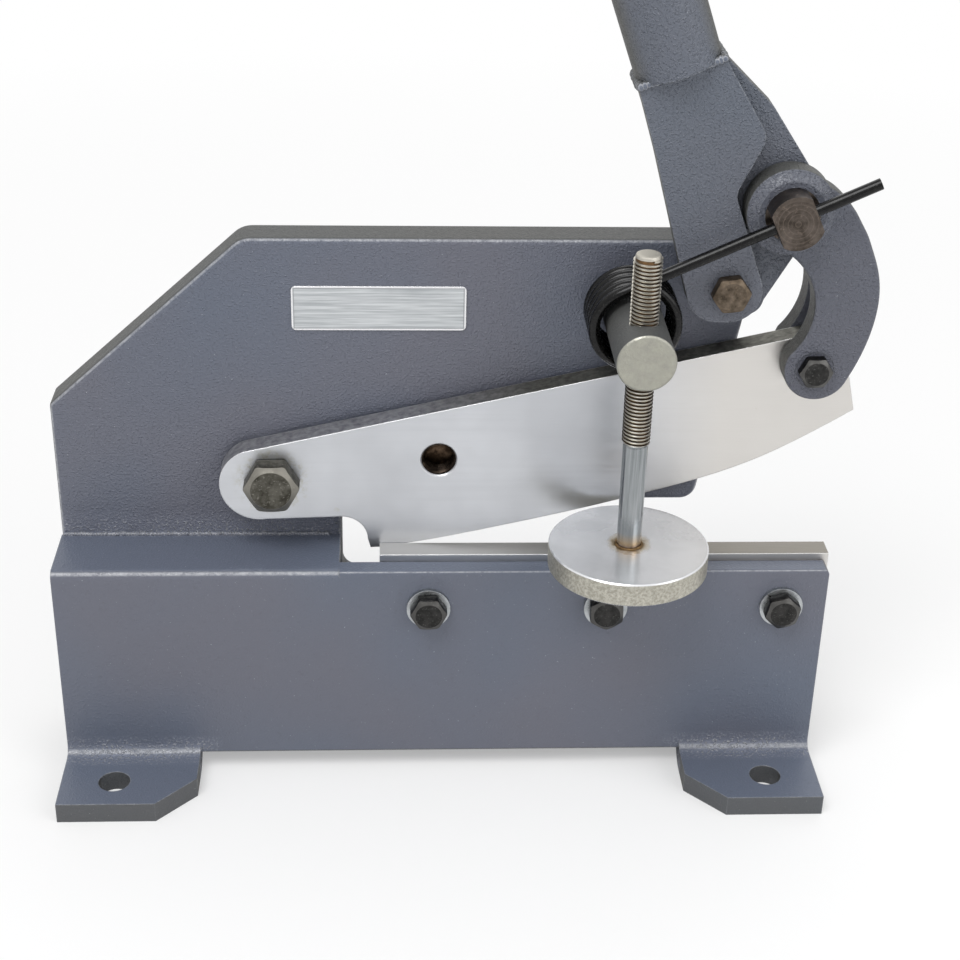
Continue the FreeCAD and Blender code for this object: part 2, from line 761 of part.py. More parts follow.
def make_parts():
    parts = {
        "front_plate": make_front_plate(),
        "rear_plate": make_rear_plate(),
        "rear_foot": make_rear_foot(),
        "tie_block_left": make_tie(-half_w + 10),
        "tie_block_right": make_tie(half_w - 10 - tie_w),
        "lower_blade": make_lower_blade(),
        "upper_blade": make_upper_blade(),
    }
    head_seat = front_y - washer_t
    for i, place in enumerate(bolt_places()):
        number = str(i + 1)
        parts["blade_bolt_" + number] = hex_bolt(place, blade_bolt, head_seat, shear_y - 1)
        parts["blade_washer_" + number] = washer(place, washer_r, blade_bolt[0] + clearance_hole,
                                                 head_seat, front_y)
    nut_h = 2 * pivot_bolt[0] * nut_ratio
    parts["blade_pivot_bolt"] = hex_bolt(blade_pivot, pivot_bolt, shear_y - face_gap,
                                         rear_back_y + nut_h + bolt_end)
    parts["blade_pivot_washer"] = washer(blade_pivot, pivot_washer_r, pivot_bolt[0] + running,
                                         upper_back_y + face_gap, rear_y)
    parts["blade_pivot_nut"] = hex_nut(blade_pivot, pivot_bolt, rear_back_y)
    lever_face = shear_y - handle_plate_t
    nut_h = 2 * lever_bolt[0] * nut_ratio
    parts["lever_bolt"] = hex_bolt(lever_pivot, lever_bolt, lever_face - face_gap,
                                   rear_back_y + nut_h + bolt_end)
    parts["lever_washer"] = washer(lever_pivot, lever_washer_r, lever_bolt[0] + running,
                                   upper_back_y + face_gap, rear_y)
    parts["lever_nut"] = hex_nut(lever_pivot, lever_bolt, rear_back_y)
    parts["crank_plate"] = make_crank_plate()
    parts["handle_plate"] = make_handle_plate()
    parts["handle_socket"] = make_socket()
    parts["handle_tube"] = make_handle_tube()
    parts["handle_grip"] = make_grip()
    parts["socket_screw"] = make_socket_screw()
    parts["link_front"] = make_link_front()
    parts["link_rear"] = make_link_rear()
    seat = shear_y - link_gap - link_t + link_seat_deep
    link_back = upper_back_y + link_gap + link_t
    nut_h = 2 * link_bolt[0] * nut_ratio
    parts["link_bolt"] = hex_bolt(blade_link, link_bolt, seat, link_back + washer_t + nut_h + bolt_end)
    parts["link_washer"] = washer(blade_link, washer_r - 2, link_bolt[0] + clearance_hole,
                                  link_back, link_back + washer_t)
    parts["link_nut"] = hex_nut(blade_link, link_bolt, link_back + washer_t)
    parts["crank_pin"] = make_link_pin()
    parts["spring_coil"] = make_spring_coil()
    parts["spring_leg"] = make_spring_leg()
    parts["hold_down_post"] = make_post()
    parts["hold_down_rod"] = make_rod()
    parts["pressure_disc"] = make_disc()
    parts["nameplate"] = make_nameplate()
    return parts


os.makedirs("parts", exist_ok=True)
for name, shape in make_parts().items():
    shape.exportStep("parts/" + name + ".step")
    print(name, len(shape.Solids), shape.isValid(), round(shape.Volume / 1000, 2))
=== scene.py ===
import math

import bmesh
import bpy
from mathutils import Matrix, Vector


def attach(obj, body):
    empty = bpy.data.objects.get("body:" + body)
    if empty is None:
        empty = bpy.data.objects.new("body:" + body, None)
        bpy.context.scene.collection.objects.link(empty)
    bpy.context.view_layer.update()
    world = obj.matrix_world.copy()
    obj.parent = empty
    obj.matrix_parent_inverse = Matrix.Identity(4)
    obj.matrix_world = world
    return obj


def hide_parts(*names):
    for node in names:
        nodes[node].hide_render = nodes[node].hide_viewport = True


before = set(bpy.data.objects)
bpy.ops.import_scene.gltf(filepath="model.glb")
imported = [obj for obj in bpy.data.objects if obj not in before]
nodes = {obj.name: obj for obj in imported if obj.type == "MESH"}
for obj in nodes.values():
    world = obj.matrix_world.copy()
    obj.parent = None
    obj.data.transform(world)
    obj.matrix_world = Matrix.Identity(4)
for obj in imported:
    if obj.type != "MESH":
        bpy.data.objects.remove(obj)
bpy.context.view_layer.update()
print("frame loaded,", len(nodes), "nodes")

mm = 0.001
sceneNow = bpy.context.scene
collection = sceneNow.collection


def point(x, y, z):
    return Vector((x, y, z)) * mm


def linear(hexColour):
    # sRGB hex to linear
    parts = [int(hexColour[i:i + 2], 16) / 255 for i in (1, 3, 5)]
    return [p / 12.92 if p <= 0.04045 else ((p + 0.055) / 1.055) ** 2.4 for p in parts] + [1.0]


def nodeAdder(tree, family=""):
    # Gives a tree its one function for adding nodes. Inputs go by position or by socket, and
    # each is a number, a hex colour or another node's output. Settings are the node's own.
    def add(kind, inputs=(), **settings):
        node = tree.nodes.new(family + kind)
        for name, value in settings.items():
            setattr(node, name, value)
        if not isinstance(inputs, dict):
            inputs = dict(enumerate(inputs))
        for socket, value in inputs.items():
            if isinstance(value, bpy.types.NodeSocket):
                tree.links.new(value, node.inputs[socket])
            else:
                value = linear(value) if isinstance(value, str) else value
                node.inputs[socket].default_value = value
        return next((output for output in node.outputs if output.enabled), None)   # first in use
    return add


# Camera and studio

cameraValues = {
    "place": (-28.94, -811.75, 637.67),   # millimetres
    "yaw": 0.056448, "pitch": 0.49162, "roll": -0.024859,   # radians
    "focalPixels": 1797.5, "framePixels": 960.0, "sensor": 36.0, "nearest": 0.01,
}


def makeCamera(values):
    yaw, pitch, roll = values["yaw"], values["pitch"], values["roll"]
    forward = Vector((math.sin(yaw) * math.cos(pitch), math.cos(yaw) * math.cos(pitch),
                      -math.sin(pitch)))
    right = Vector((math.cos(yaw), -math.sin(yaw), 0))
    down = forward.cross(right)
    imageRight = math.cos(roll) * right + math.sin(roll) * down
    imageDown = -math.sin(roll) * right + math.cos(roll) * down
    turn = Matrix((imageRight, -imageDown, -forward)).transposed()
    data = bpy.data.cameras.new("studioCamera")
    data.sensor_width = values["sensor"]
    data.lens = values["focalPixels"] / values["framePixels"] * values["sensor"]
    data.clip_start = values["nearest"]
    camera = bpy.data.objects.new("studioCamera", data)
    collection.objects.link(camera)
    camera.matrix_world = Matrix.Translation(point(*values["place"])) @ turn.to_4x4()
    sceneNow.camera = camera


makeCamera(cameraValues)

studioValues = {
    "ambient": 0.62, "white": "#ffffff", "floor": "#f4f4f4", "floorSize": 6.0,
    "room": (-0.6, 0.6, 0.55, 1.0),       # height from and to, strength from and to
    "floorFade": (0.5, 1.6, 0.35, 1.0),   # metres from and to, share of white from and to
    "floorRoughness": 0.9, "floorSpecular": 0.1,
    "lamps": [   # name, place in metres, size, watts, aim
        ("keyLamp", (-0.8, -1.3, 2.7), 1.6, 46.0, (0, 0, 0.2)),
        ("fillLamp", (1.7, -1.3, 1.3), 1.6, 14.0, (0, 0, 0.25)),
        ("backLamp", (0.5, 1.7, 2.0), 1.8, 8.0, (0, 0, 0.3)),
    ],
}


def makeStudio(values):
    world = bpy.data.worlds.new("studioWorld")
    sceneNow.world = world
    world.use_nodes = True
    world.node_tree.nodes.clear()
    add = nodeAdder(world.node_tree, "ShaderNode")
    ray = add("LightPath").node.outputs
    seen = add("Math", (ray["Is Camera Ray"], ray["Is Transmission Ray"]), operation="MAXIMUM")
    ambient = add("Background", (values["white"], values["ambient"]))
    white = add("Background", (values["white"],))
    # Metal sees a room that is white above and dim below, with no hard line
    way = add("SeparateXYZ", (add("TexCoord").node.outputs["Generated"],)).node.outputs
    room = add("Background", (values["white"], add("MapRange", (way["Z"], *values["room"]))))
    glossy = add("MixShader", (ray["Is Glossy Ray"], ambient, room))
    add("OutputWorld", (add("MixShader", (seen, glossy, white)),))
    for name, place, size, watts, aim in values["lamps"]:
        data = bpy.data.lights.new(name, "AREA")
        data.size = size
        data.energy = watts
        lamp = bpy.data.objects.new(name, data)
        collection.objects.link(lamp)
        turn = (Vector(place) - Vector(aim)).to_track_quat("Z", "Y").to_matrix().to_4x4()
        lamp.matrix_world = Matrix.Translation(place) @ turn
    half = values["floorSize"] / 2
    mesh = bpy.data.meshes.new("studioFloor")
    mesh.from_pydata([(-half, -half, 0), (half, -half, 0), (half, half, 0), (-half, half, 0)],
                     [], [(0, 1, 2, 3)])
    floor = bpy.data.objects.new("studioFloor", mesh)
    collection.objects.link(floor)
    paper = bpy.data.materials.new("palePaper")
    paper.use_nodes = True
    tree = paper.node_tree
    add = nodeAdder(tree, "ShaderNode")
    shader = tree.nodes["Principled BSDF"]
    shader.inputs["Base Color"].default_value = linear(values["floor"])
    shader.inputs["Roughness"].default_value = values["floorRoughness"]
    shader.inputs["Specular IOR Level"].default_value = values["floorSpecular"]
    # Away from the object the paper fades to the white of the background
    far = add("VectorMath", (add("TexCoord").node.outputs["Object"],), operation="LENGTH")
    fade = add("MapRange", (far, *values["floorFade"]))
    seen = add("Math", (add("LightPath").node.outputs["Is Camera Ray"], fade), operation="MULTIPLY")
    glow = add("Emission", (values["white"],))
    paperSeen = add("MixShader", (seen, shader.outputs[0], glow))
    tree.links.new(paperSeen, tree.nodes["Material Output"].inputs["Surface"])
    mesh.materials.append(paper)


makeStudio(studioValues)
sceneNow.view_settings.view_transform = "Standard"
print("camera and studio made")


# Materials
# Patterns are noises, each as feature size in millimetres, detail, roughness and, where it is
# stretched, its scales. A fade is a value, where it starts and where it is whole, and what it
# then runs between. Names that end in Fade hold two such limits in millimetres.

def newMaterial(name, values, turn=(0, 0, 0)):
    # A material, its shader, what adds nodes to it, its coordinates and its patterns by name
    material = bpy.data.materials.new(name)
    material.use_nodes = True
    add = nodeAdder(material.node_tree, "ShaderNode")
    coords = add("TexCoord").node.outputs
    clouds = {}
    for key, (size, detail, roughness, *stretches) in values["patterns"].items():
        vector = coords["Object"]
        for stretch in stretches:
            vector = add("Mapping", {"Vector": vector, "Scale": stretch, "Rotation": turn})
        clouds[key] = add("TexNoise", {"Vector": vector, "Scale": 1.0 / (size * mm),
                                       "Detail": detail, "Roughness": roughness})
    shader = material.node_tree.nodes["Principled BSDF"]
    shader.inputs["Metallic"].default_value = values.get("metallic", 0.0)
    coat, coatRoughness = values.get("coat", (0.0, 0.03))
    shader.inputs["Coat Weight"].default_value = coat
    shader.inputs["Coat Roughness"].default_value = coatRoughness
    return material, shader, add, coords, clouds


def over(value, limits, *ends):
    # A fade along a distance given in mm
    return (value, limits[0] * mm, limits[1] * mm, *ends)


def within(add, *masks):
    # The product of masks, each a fade, another node's output or a number
    masks = [add("MapRange", mask) if isinstance(mask, tuple) else mask for mask in masks]
    whole = masks[0]
    for mask in masks[1:]:
        whole = add("Math", (whole, mask), operation="MULTIPLY")
    return whole


def layered(add, base, coats):
    # Lays each coat over what is below it. A coat is its masks, and last its colour.
    for *masks, colour in coats:
        base = add("Mix", {0: within(add, *masks), 6: base, 7: colour}, data_type="RGBA")
    return base


def relief(add, shader, height, strength, depth, edge):
    # Relief on top of a softly broken edge, both in mm. Gives the broken edge's normal.
    broken = add("Bevel", {"Radius": edge * mm}, samples=4)
    bumped = add("Bump", {"Strength": strength, "Distance": depth * mm, "Height": height,
                          "Normal": broken})
    bumped.id_data.links.new(bumped, shader.inputs["Normal"])
    return broken


def edgeTurn(add, broken):
    # 1 on a flat face, less where a broken edge turns
    flat = add("NewGeometry").node.outputs["True Normal"]
    return add("VectorMath", (broken, flat), operation="DOT_PRODUCT")


def fromAxis(add, parts, axis, centre):
    # Distance in metres from a straight line through centre, along Y or Z
    squares = []
    for name, middle in zip("XYZ".replace(axis, ""), centre):
        off = add("Math", (parts[name], middle * mm), operation="SUBTRACT")
        squares.append(add("Math", (off, off), operation="MULTIPLY"))
    return add("Math", (add("Math", squares, operation="ADD"),), operation="SQRT")


def finished(material, shader, colour, rough):
    material.node_tree.links.new(colour, shader.inputs["Base Color"])
    material.node_tree.links.new(rough, shader.inputs["Roughness"])
    return material


enamelValues = {
    "face": "#60626d", "faceCool": "#5a6271", "edge": "#484843", "edgeDeep": "#454547",
    "chipAndHighlight": "#a9abb0", "dryAndHighlight": "#7f8494", "bendHighlightShare": 0.5, "paintedLevelLight": "#616979",
    "bare": "#a9a89d", "bareLow": "#9b9a92", "roughness": (0.28, 0.42),
    "peelDepth": 0.36, "frontPlate": 0.4, "spatterDepth": 0.7, "edgeRound": 1.1,
    "edgeHighlight": 0.75, "aboveLedgeFade": (150, 160), "belowLedgeFade": (160, 150),
    "footEdgeFade": (13, 12.2), "aboveFootFade": (12.2, 13), "backFade": (50, 66),
    "bareFade": (-14.1, -14.3),
    # Grains of dry spray lie where all these fades are whole, each with its axis; there the colour
    # is also painted lighter as a highlight
    "ledgeGrains": (("Z", 147, 133), ("Z", 128, 130), ("Y", 66, 68.5), ("Y", 76, 72)),
    "footGrains": (("Z", 24, 16), ("Y", 14, 21), ("Y", 60, 50)), "asideFade": (124, 136),
    "patterns": {"cloud": (160, 2.0, 0.55), "mottle": (3.2, 4.0, 0.7), "patches": (26, 2.0, 0.55),
                 "grit": (1.5, 2.0, 0.6), "speck": (1.1, 1.0, 0.55), "peel": (1.7, 2.0, 0.55),
                 "blobs": (1.19, 1.0, 0.55), "scuff": (5, 4.0, 0.7)},
}
linkEnamelValues = {**enamelValues, "face": "#565862", "faceCool": "#535863", "frontPlate": 1.0,
                    "peelDepth": 0.55, "edgeHighlight": 0.10}
leverEnamelValues = {**enamelValues, "face": "#5d5f68", "faceCool": "#5a606b", "frontPlate": 1.0,
                     "peelDepth": 0.50, "edgeHighlight": 0.0}


def makeEnamel(name, values, bareEnd=False):
    # Stove enamel sprayed on plate: soft sheen over a fine orange peel, grains of dry spray
    # and weld spatter in the corners, and painted highlights along the edges
    material, shader, add, coords, clouds = newMaterial(name, values)
    parts = add("SeparateXYZ", (coords["Object"],)).node.outputs
    normal = add("SeparateXYZ", (coords["Normal"],)).node.outputs
    facing, level, aside = [add("Math", (value,), operation="ABSOLUTE")
                            for value in (normal["Y"], normal["Z"], parts["X"])]
    mottle = clouds["mottle"]
    # Painted shade: sheared and flame-cut edges and the plates' narrow faces are painted darker and
    # browner
    high = add("MapRange", over(parts["Z"], values["aboveLedgeFade"]))
    upright = add("MapRange", (level, 0.98, 0.55))
    cut = within(add, (facing, 0.75, 0.35), add("Math", (high, upright), operation="MAXIMUM"))
    sheared = within(add, (level, 0.4, 0.2), over(parts["Z"], values["footEdgeFade"]), 0.8)
    edge = add("Math", (cut, sheared), operation="MAXIMUM")
    # Grains lie along the ledge's crease and over the bends of the feet, which are painted lighter
    # there as the bends' highlight
    ledge = within(add, *[over(parts[axis], limits) for axis, *limits in values["ledgeGrains"]])
    foot = within(add, *[over(parts[axis], limits) for axis, *limits in values["footGrains"]],
                  over(aside, values["asideFade"]))
    dryAndHighlight = within(add, add("Math", (ledge, foot), operation="MAXIMUM"),
                 (clouds["patches"], 0.38, 0.58, 0.35, 1.0))
    grainsAndGlints = within(add, dryAndHighlight, (clouds["grit"], 0.52, 0.66))
    colour = layered(add, values["face"], [
        ((clouds["cloud"], 0.35, 0.65), values["faceCool"]),
        # painted shade on the cut edges and narrow faces
        (edge, 0.85, values["edge"]),
        # Painted light: level faces below the ledge are painted a little lighter and cooler, as if
        # lit from above
        ((normal["Z"], 0.8, 0.97, 0.0, 0.7), over(parts["Z"], values["belowLedgeFade"]),
         values["paintedLevelLight"]),
        ((mottle, 0.60, 0.74, 0.0, 0.20), values["edgeDeep"]),
        ((clouds["speck"], 0.765, 0.80, 0.0, 0.55), values["chipAndHighlight"]),
        # painted highlight over the crease and the feet's bends, with pale painted grains
        (dryAndHighlight, values["bendHighlightShare"], values["dryAndHighlight"]),
        (grainsAndGlints, 0.9, values["chipAndHighlight"])])
    blobs = within(add, (clouds["blobs"], 0.50, 0.72), 0.8)
    peel = within(add, add("Math", (clouds["peel"], blobs), operation="ADD"),
                  over(parts["Y"], values["backFade"], values["frontPlate"], 1.0))
    spatter = within(add, grainsAndGlints, values["spatterDepth"] / values["peelDepth"])
    broken = relief(add, shader, add("Math", (peel, spatter), operation="ADD"), 1.0,
                    values["peelDepth"], values["edgeRound"])
    # Painted highlight: where an edge turns and on rounded edges, the colour is painted pale
    aboveFoot = add("MapRange", over(parts["Z"], values["aboveFootFade"]))
    sloping = add("MapRange", (level, 0.2, 0.4))
    rounded = within(add, (facing, 0.48, 0.62), (facing, 0.90, 0.80),
                     (mottle, 0.36, 0.62, 0.35, 1.0),
                     add("Math", (sloping, aboveFoot), operation="MAXIMUM"))
    colour = layered(add, colour, [
        ((edgeTurn(add, broken), 0.97, 0.80), (mottle, 0.40, 0.62, 0.25, 0.8), values["chipAndHighlight"]),
        (rounded, values["edgeHighlight"], values["chipAndHighlight"])])
    rough = add("MapRange", (mottle, 0.3, 0.7, *values["roughness"]))
    if bareEnd:
        # The post's end was wiped bare after spraying
        bare = add("MapRange", over(parts["Y"], values["bareFade"]))
        steel = layered(add, values["bare"], [((clouds["scuff"], 0.35, 0.7), values["bareLow"])])
        colour = layered(add, colour, [(bare, steel)])
        material.node_tree.links.new(bare, shader.inputs["Metallic"])
        rough = add("Math", (rough, within(add, bare, 0.12)), operation="ADD")
    rough = add("Math", (rough, within(add, edge, 0.18)), operation="ADD")
    rough = add("Math", (rough, within(add, rounded, 0.12)), operation="SUBTRACT")
    return finished(material, shader, colour, rough)


groundValues = {
    "face": "#c9cbcf", "faceLow": "#bcbec2", "warm": "#d4d0ca", "stain": "#a8a48f",
    "scale": "#85847d", "scaleDeep": "#55544e", "scaleLeft": "#bcbcbf",
    "scaleLeftDeep": "#88888e", "glint": "#f2f2f2", "bright": "#c4c3c1", "paintedShadeEnd": "#938f88",
    "oilyHoleShade": "#2b2119", "oilyHoleShadeBlotch": "#6a5848", "roughness": (0.30, 0.44), "metallic": 1.0,
    "handledFade": (90, 150), "paintedShadeEndFade": (40, 120), "leftFade": (50, -20),
    "stainFade": (22, 14), "holeFade": (9.7, 9.5), "mouthFade": (52.7, 53.1),
    "patterns": {"cloud": (70, 3.0, 0.55), "stain": (9, 5.0, 0.7), "grease": (3.0, 5.0, 0.75),
                 "blotch": (4, 4.0, 0.65), "scratches": (0.35, 2.0, 0.55, (0.02, 1.0, 1.0)),
                 "wide": (4.2, 2.0, 0.55, (0.02, 1.0, 1.0))},
}


def makeGround(name, values, turn, groundTop=False, stainAt=None, holeAt=None):
    # Surface-ground tool steel: fine straight scratches on the ground faces, mill scale elsewhere
    material, shader, add, coords, clouds = newMaterial(name, values, turn)
    parts = add("SeparateXYZ", (coords["Object"],)).node.outputs
    normal = add("SeparateXYZ", (coords["Normal"],)).node.outputs
    facing = add("Math", (normal["Y"],), operation="ABSOLUTE")
    colour = layered(add, values["face"], [
        ((clouds["cloud"], 0.40, 0.62), values["faceLow"]),
        ((clouds["wide"], 0.5, 0.75, 0.0, 0.35), values["faceLow"]),
        # The right half has been handled more, and is a little warmer
        (over(parts["X"], values["handledFade"], 0.0, 0.8), values["warm"]),
        ((clouds["stain"], 0.68, 0.80, 0.0, 0.35), values["stain"])])
    if stainAt:
        # Oil and dirt that the bolt's grease has drawn round its head
        away = fromAxis(add, parts, "Y", stainAt)
        colour = layered(add, colour, [(over(away, values["stainFade"]),
                                        (clouds["grease"], 0.48, 0.66), 0.8, values["stain"])])
    edge = add("MapRange", (facing, 0.8, 0.4))
    if groundTop:
        edge = within(add, edge, (normal["Z"], 0.95, 0.7))
        # Painted shade: the lower blade's top is painted darker towards its right end
        top = layered(add, values["bright"],
                      [(over(parts["X"], values["paintedShadeEndFade"]), values["paintedShadeEnd"])])
        colour = layered(add, colour, [((normal["Z"], 0.7, 0.95), top)])
    mottled = add("MapRange", (clouds["blotch"], 0.35, 0.7))
    scale = layered(add, values["scale"], [(mottled, values["scaleDeep"])])
    scaleLeft = layered(add, values["scaleLeft"], [(mottled, values["scaleLeftDeep"])])
    scale = layered(add, scale, [(over(parts["X"], values["leftFade"]), scaleLeft)])
    colour = layered(add, colour, [(edge, scale)])
    if holeAt:
        # Painted shade: the inside of the tapped hole is painted a dark oily brown
        away = fromAxis(add, parts, "Y", holeAt)
        holeShade = layered(add, values["oilyHoleShade"], [((clouds["blotch"], 0.45, 0.75), values["oilyHoleShadeBlotch"])])
        colour = layered(add, colour, [(over(away, values["holeFade"]),
                                        over(parts["Y"], values["mouthFade"]), holeShade)])
    rough = add("MapRange", (clouds["scratches"], 0.3, 0.7, *values["roughness"]))
    rough = add("Math", (rough, within(add, (facing, 0.8, 0.4), 0.2)), operation="ADD")
    # Painted highlight: the ground edge is painted a pale glint where it turns
    broken = relief(add, shader, clouds["scratches"], 0.35, 0.04, 0.8)
    colour = layered(add, colour, [((edgeTurn(add, broken), 0.97, 0.80, 0.0, 0.9),
                                    values["glint"])])
    return finished(material, shader, colour, rough)


screwFinish = {
    "axis": (96.5, 4.0), "crest": "#c2beb4", "groove": "#8a6f52", "grooveDeep": "#4a3b2e",
    "shank": "#9b9ea0", "shankLow": "#7d8284", "straw": "#a98a5c", "blue": "#79839a",
    "grooveFade": (6.75, 5.9), "threadFade": (222, 223), "tipFade": (322.8, 322.4),
    "weldZ": 162.0, "strawFade": (9, 2), "blueFade": (3.0, 0.6), "roughness": (0.32, 0.57),
    "metallic": 1.0,
    "patterns": {"patch": (9, 3.0, 0.55), "drawn": (1.2, 2.0, 0.55, (1.0, 1.0, 0.03))},
}


def makeScrewSteel(values):
    # Rolled thread on bright bar: crests shine, cutting oil has browned the grooves
    material, shader, add, coords, clouds = newMaterial("rolledThreadSteel", values)
    parts = add("SeparateXYZ", (coords["Object"],)).node.outputs
    deep = add("MapRange", over(fromAxis(add, parts, "Z", values["axis"]), values["grooveFade"]))
    upper = add("MapRange", over(parts["Z"], values["threadFade"]))
    browned = layered(add, values["groove"], [
        ((clouds["patch"], 0.35, 0.65), values["grooveDeep"])])
    threaded = layered(add, values["crest"], [
        (deep, upper, over(parts["Z"], values["tipFade"]), browned)])
    rise = add("Math", (parts["Z"], values["weldZ"] * mm), operation="SUBTRACT")
    colour = layered(add, values["shank"], [
        ((clouds["drawn"], 0.35, 0.65), values["shankLow"]),
        (upper, threaded),
        # Heat colours climb the bar from the weld at the disc: blue close in, then straw
        (over(rise, values["strawFade"], 0.0, 0.75), values["straw"]),
        (over(rise, values["blueFade"], 0.0, 0.6), values["blue"])])
    rough = add("MapRange", (within(add, deep, upper), 0.0, 1.0, *values["roughness"]))
    rough = add("Math", (rough, add("MapRange", (upper, 0.0, 1.0, -0.10, 0.0))), operation="ADD")
    relief(add, shader, clouds["drawn"], 0.25, 0.03, 0.2)
    return finished(material, shader, colour, rough)


discFinish = {
    "axis": (96.5, 4.0), "face": "#e6e7e9", "faceLow": "#dadbdd", "rim": "#c3c0b5",
    "rimDeep": "#99968b", "straw": "#b09a6c", "brown": "#75603f", "strawFade": (12.5, 8),
    "brownFade": (9.2, 7.4), "wander": 1.2, "metallic": 0.72, "roughness": (0.16, 0.26),
    "ringSize": 0.5, "pitDepth": 22,   # the pits' height against the rings'
    "patterns": {"cloud": (24, 3.0, 0.55), "pits": (1.6, 4.0, 0.7), "wander": (3, 3.0, 0.55)},
}


def makeDiscSteel(values):
    # Faced in the lathe: fine rings on top, the rough-forged rim left pitted
    material, shader, add, coords, clouds = newMaterial("facedDiscSteel", values)
    parts = add("SeparateXYZ", (coords["Object"],)).node.outputs
    normal = add("SeparateXYZ", (coords["Normal"],)).node.outputs
    away = fromAxis(add, parts, "Z", values["axis"])
    rim = add("MapRange", (add("Math", (normal["Z"],), operation="ABSOLUTE"), 0.6, 0.3))
    rings = add("TexNoise", {"Vector": add("CombineXYZ", (away,)), "Detail": 3.0,
                             "Scale": 1.0 / (values["ringSize"] * mm), "Roughness": 0.6})
    rimColour = layered(add, values["rimDeep"], [((clouds["pits"], 0.40, 0.66), values["rim"])])
    astray = values["wander"] * mm
    astray = add("MapRange", (clouds["wander"], 0.3, 0.7, -astray, astray))
    heat = add("Math", (away, astray), operation="ADD")
    colour = layered(add, values["face"], [
        ((clouds["cloud"], 0.38, 0.64), values["faceLow"]),
        (rim, rimColour),
        (over(heat, values["strawFade"], 0.0, 0.75), values["straw"]),
        (over(heat, values["brownFade"], 0.0, 0.8), values["brown"])])
    rough = add("MapRange", (rings, 0.3, 0.7, *values["roughness"]))
    rough = add("Math", (rough, within(add, rim, 0.18)), operation="ADD")
    pits = within(add, clouds["pits"], values["pitDepth"])
    relief(add, shader, add("Mix", {0: rim, 2: rings, 3: pits}, data_type="FLOAT"), 0.12, 0.05, 0.5)
    return finished(material, shader, colour, rough)


plateFinish = {
    "centre": (-34.85, 268.5), "half": (46.15, 12.5), "rimFade": (1.1, 0.75),
    "grooveFade": (1.7, 1.3), "face": "#cdd0d2", "faceLow": "#a3a7aa", "line": "#e2e2e4",
    "groove": "#85888b", "metallic": 0.75, "roughness": (0.40, 0.22),   # face and rim
    "coat": (0.3, 0.12), "patterns": {"grain": (1.1, 3.0, 0.75, (0.02, 1.0, 1.0))},
}


def makeNameplateSkin(values):
    # Brushed aluminium foil under a clear domed resin: long grain, a pale rim painted as the dome
    # edge's highlight, and painted shade just inside the rim
    material, shader, add, coords, clouds = newMaterial("brushedAluminiumPlate", values)
    parts = add("SeparateXYZ", (coords["Object"],)).node.outputs
    gaps = []
    for axis, centre, half in zip("XZ", values["centre"], values["half"]):
        off = add("Math", (parts[axis], centre * mm), operation="SUBTRACT")
        off = add("Math", (off,), operation="ABSOLUTE")
        gaps.append(add("Math", (half * mm, off), operation="SUBTRACT"))
    inset = add("Math", gaps, operation="MINIMUM")
    rim = add("MapRange", over(inset, values["rimFade"]))
    colour = layered(add, values["face"], [
        ((clouds["grain"], 0.38, 0.62), values["faceLow"]),
        # painted shade in a band just inside the rim, then the rim's painted highlight
        (over(inset, values["grooveFade"], 0.0, 0.8), (rim, 0.6, 0.2), values["groove"]),
        (rim, values["line"])])
    relief(add, shader, clouds["grain"], 0.3, 0.04, 0.5)
    rough = add("MapRange", (rim, 0.0, 1.0, *values["roughness"]))
    return finished(material, shader, colour, rough)


darkMetals = {
    "blackOxideSteel": {"face": "#373635", "low": "#222221", "spot": "#6b6a68",
                        "roughness": (0.28, 0.48), "grain": 1.3, "coat": (0.2, 0.16),
                        "wornAndHighlight": 0.45},
    "phosphatedSteel": {"face": "#615f58", "low": "#3c3a34", "spot": "#9a978f",
                        "roughness": (0.32, 0.52), "grain": 1.6, "wornAndHighlight": 0.6},
    "rustedBlackSteel": {"face": "#75695c", "low": "#463e35", "spot": "#8e7c68",
                         "roughness": (0.44, 0.64), "grain": 1.6, "wornAndHighlight": 0.15},
    "oiledPinSteel": {"face": "#625a54", "low": "#3e3833", "spot": "#85786e",
                      "roughness": (0.28, 0.48), "grain": 2.2, "turnedAt": (172.4, 333.5),
                      "ringSize": 0.9},
    # the hole's thread is painted near black, painted shade of the hole
    "oiledHoleSteelShaded": {"face": "#4a4038", "low": "#1a1613", "spot": "#8d7f70",
                       "roughness": (0.30, 0.50), "grain": 1.4},
    "springWire": {"face": "#191919", "low": "#0e0e0f", "spot": "#403f3c",
                   "roughness": (0.16, 0.36), "grain": 1.0, "coat": (0.4, 0.16)},
    "zincPlatedSteel": {"face": "#b9bcbe", "low": "#a3a7a9", "spot": "#d0d2d3",
                        "roughness": (0.24, 0.44), "grain": 2.5},
    "heatTintedSteel": {"face": "#8d7350", "low": "#54412c", "spot": "#747a88",
                        "roughness": (0.30, 0.50), "grain": 0.9},
}


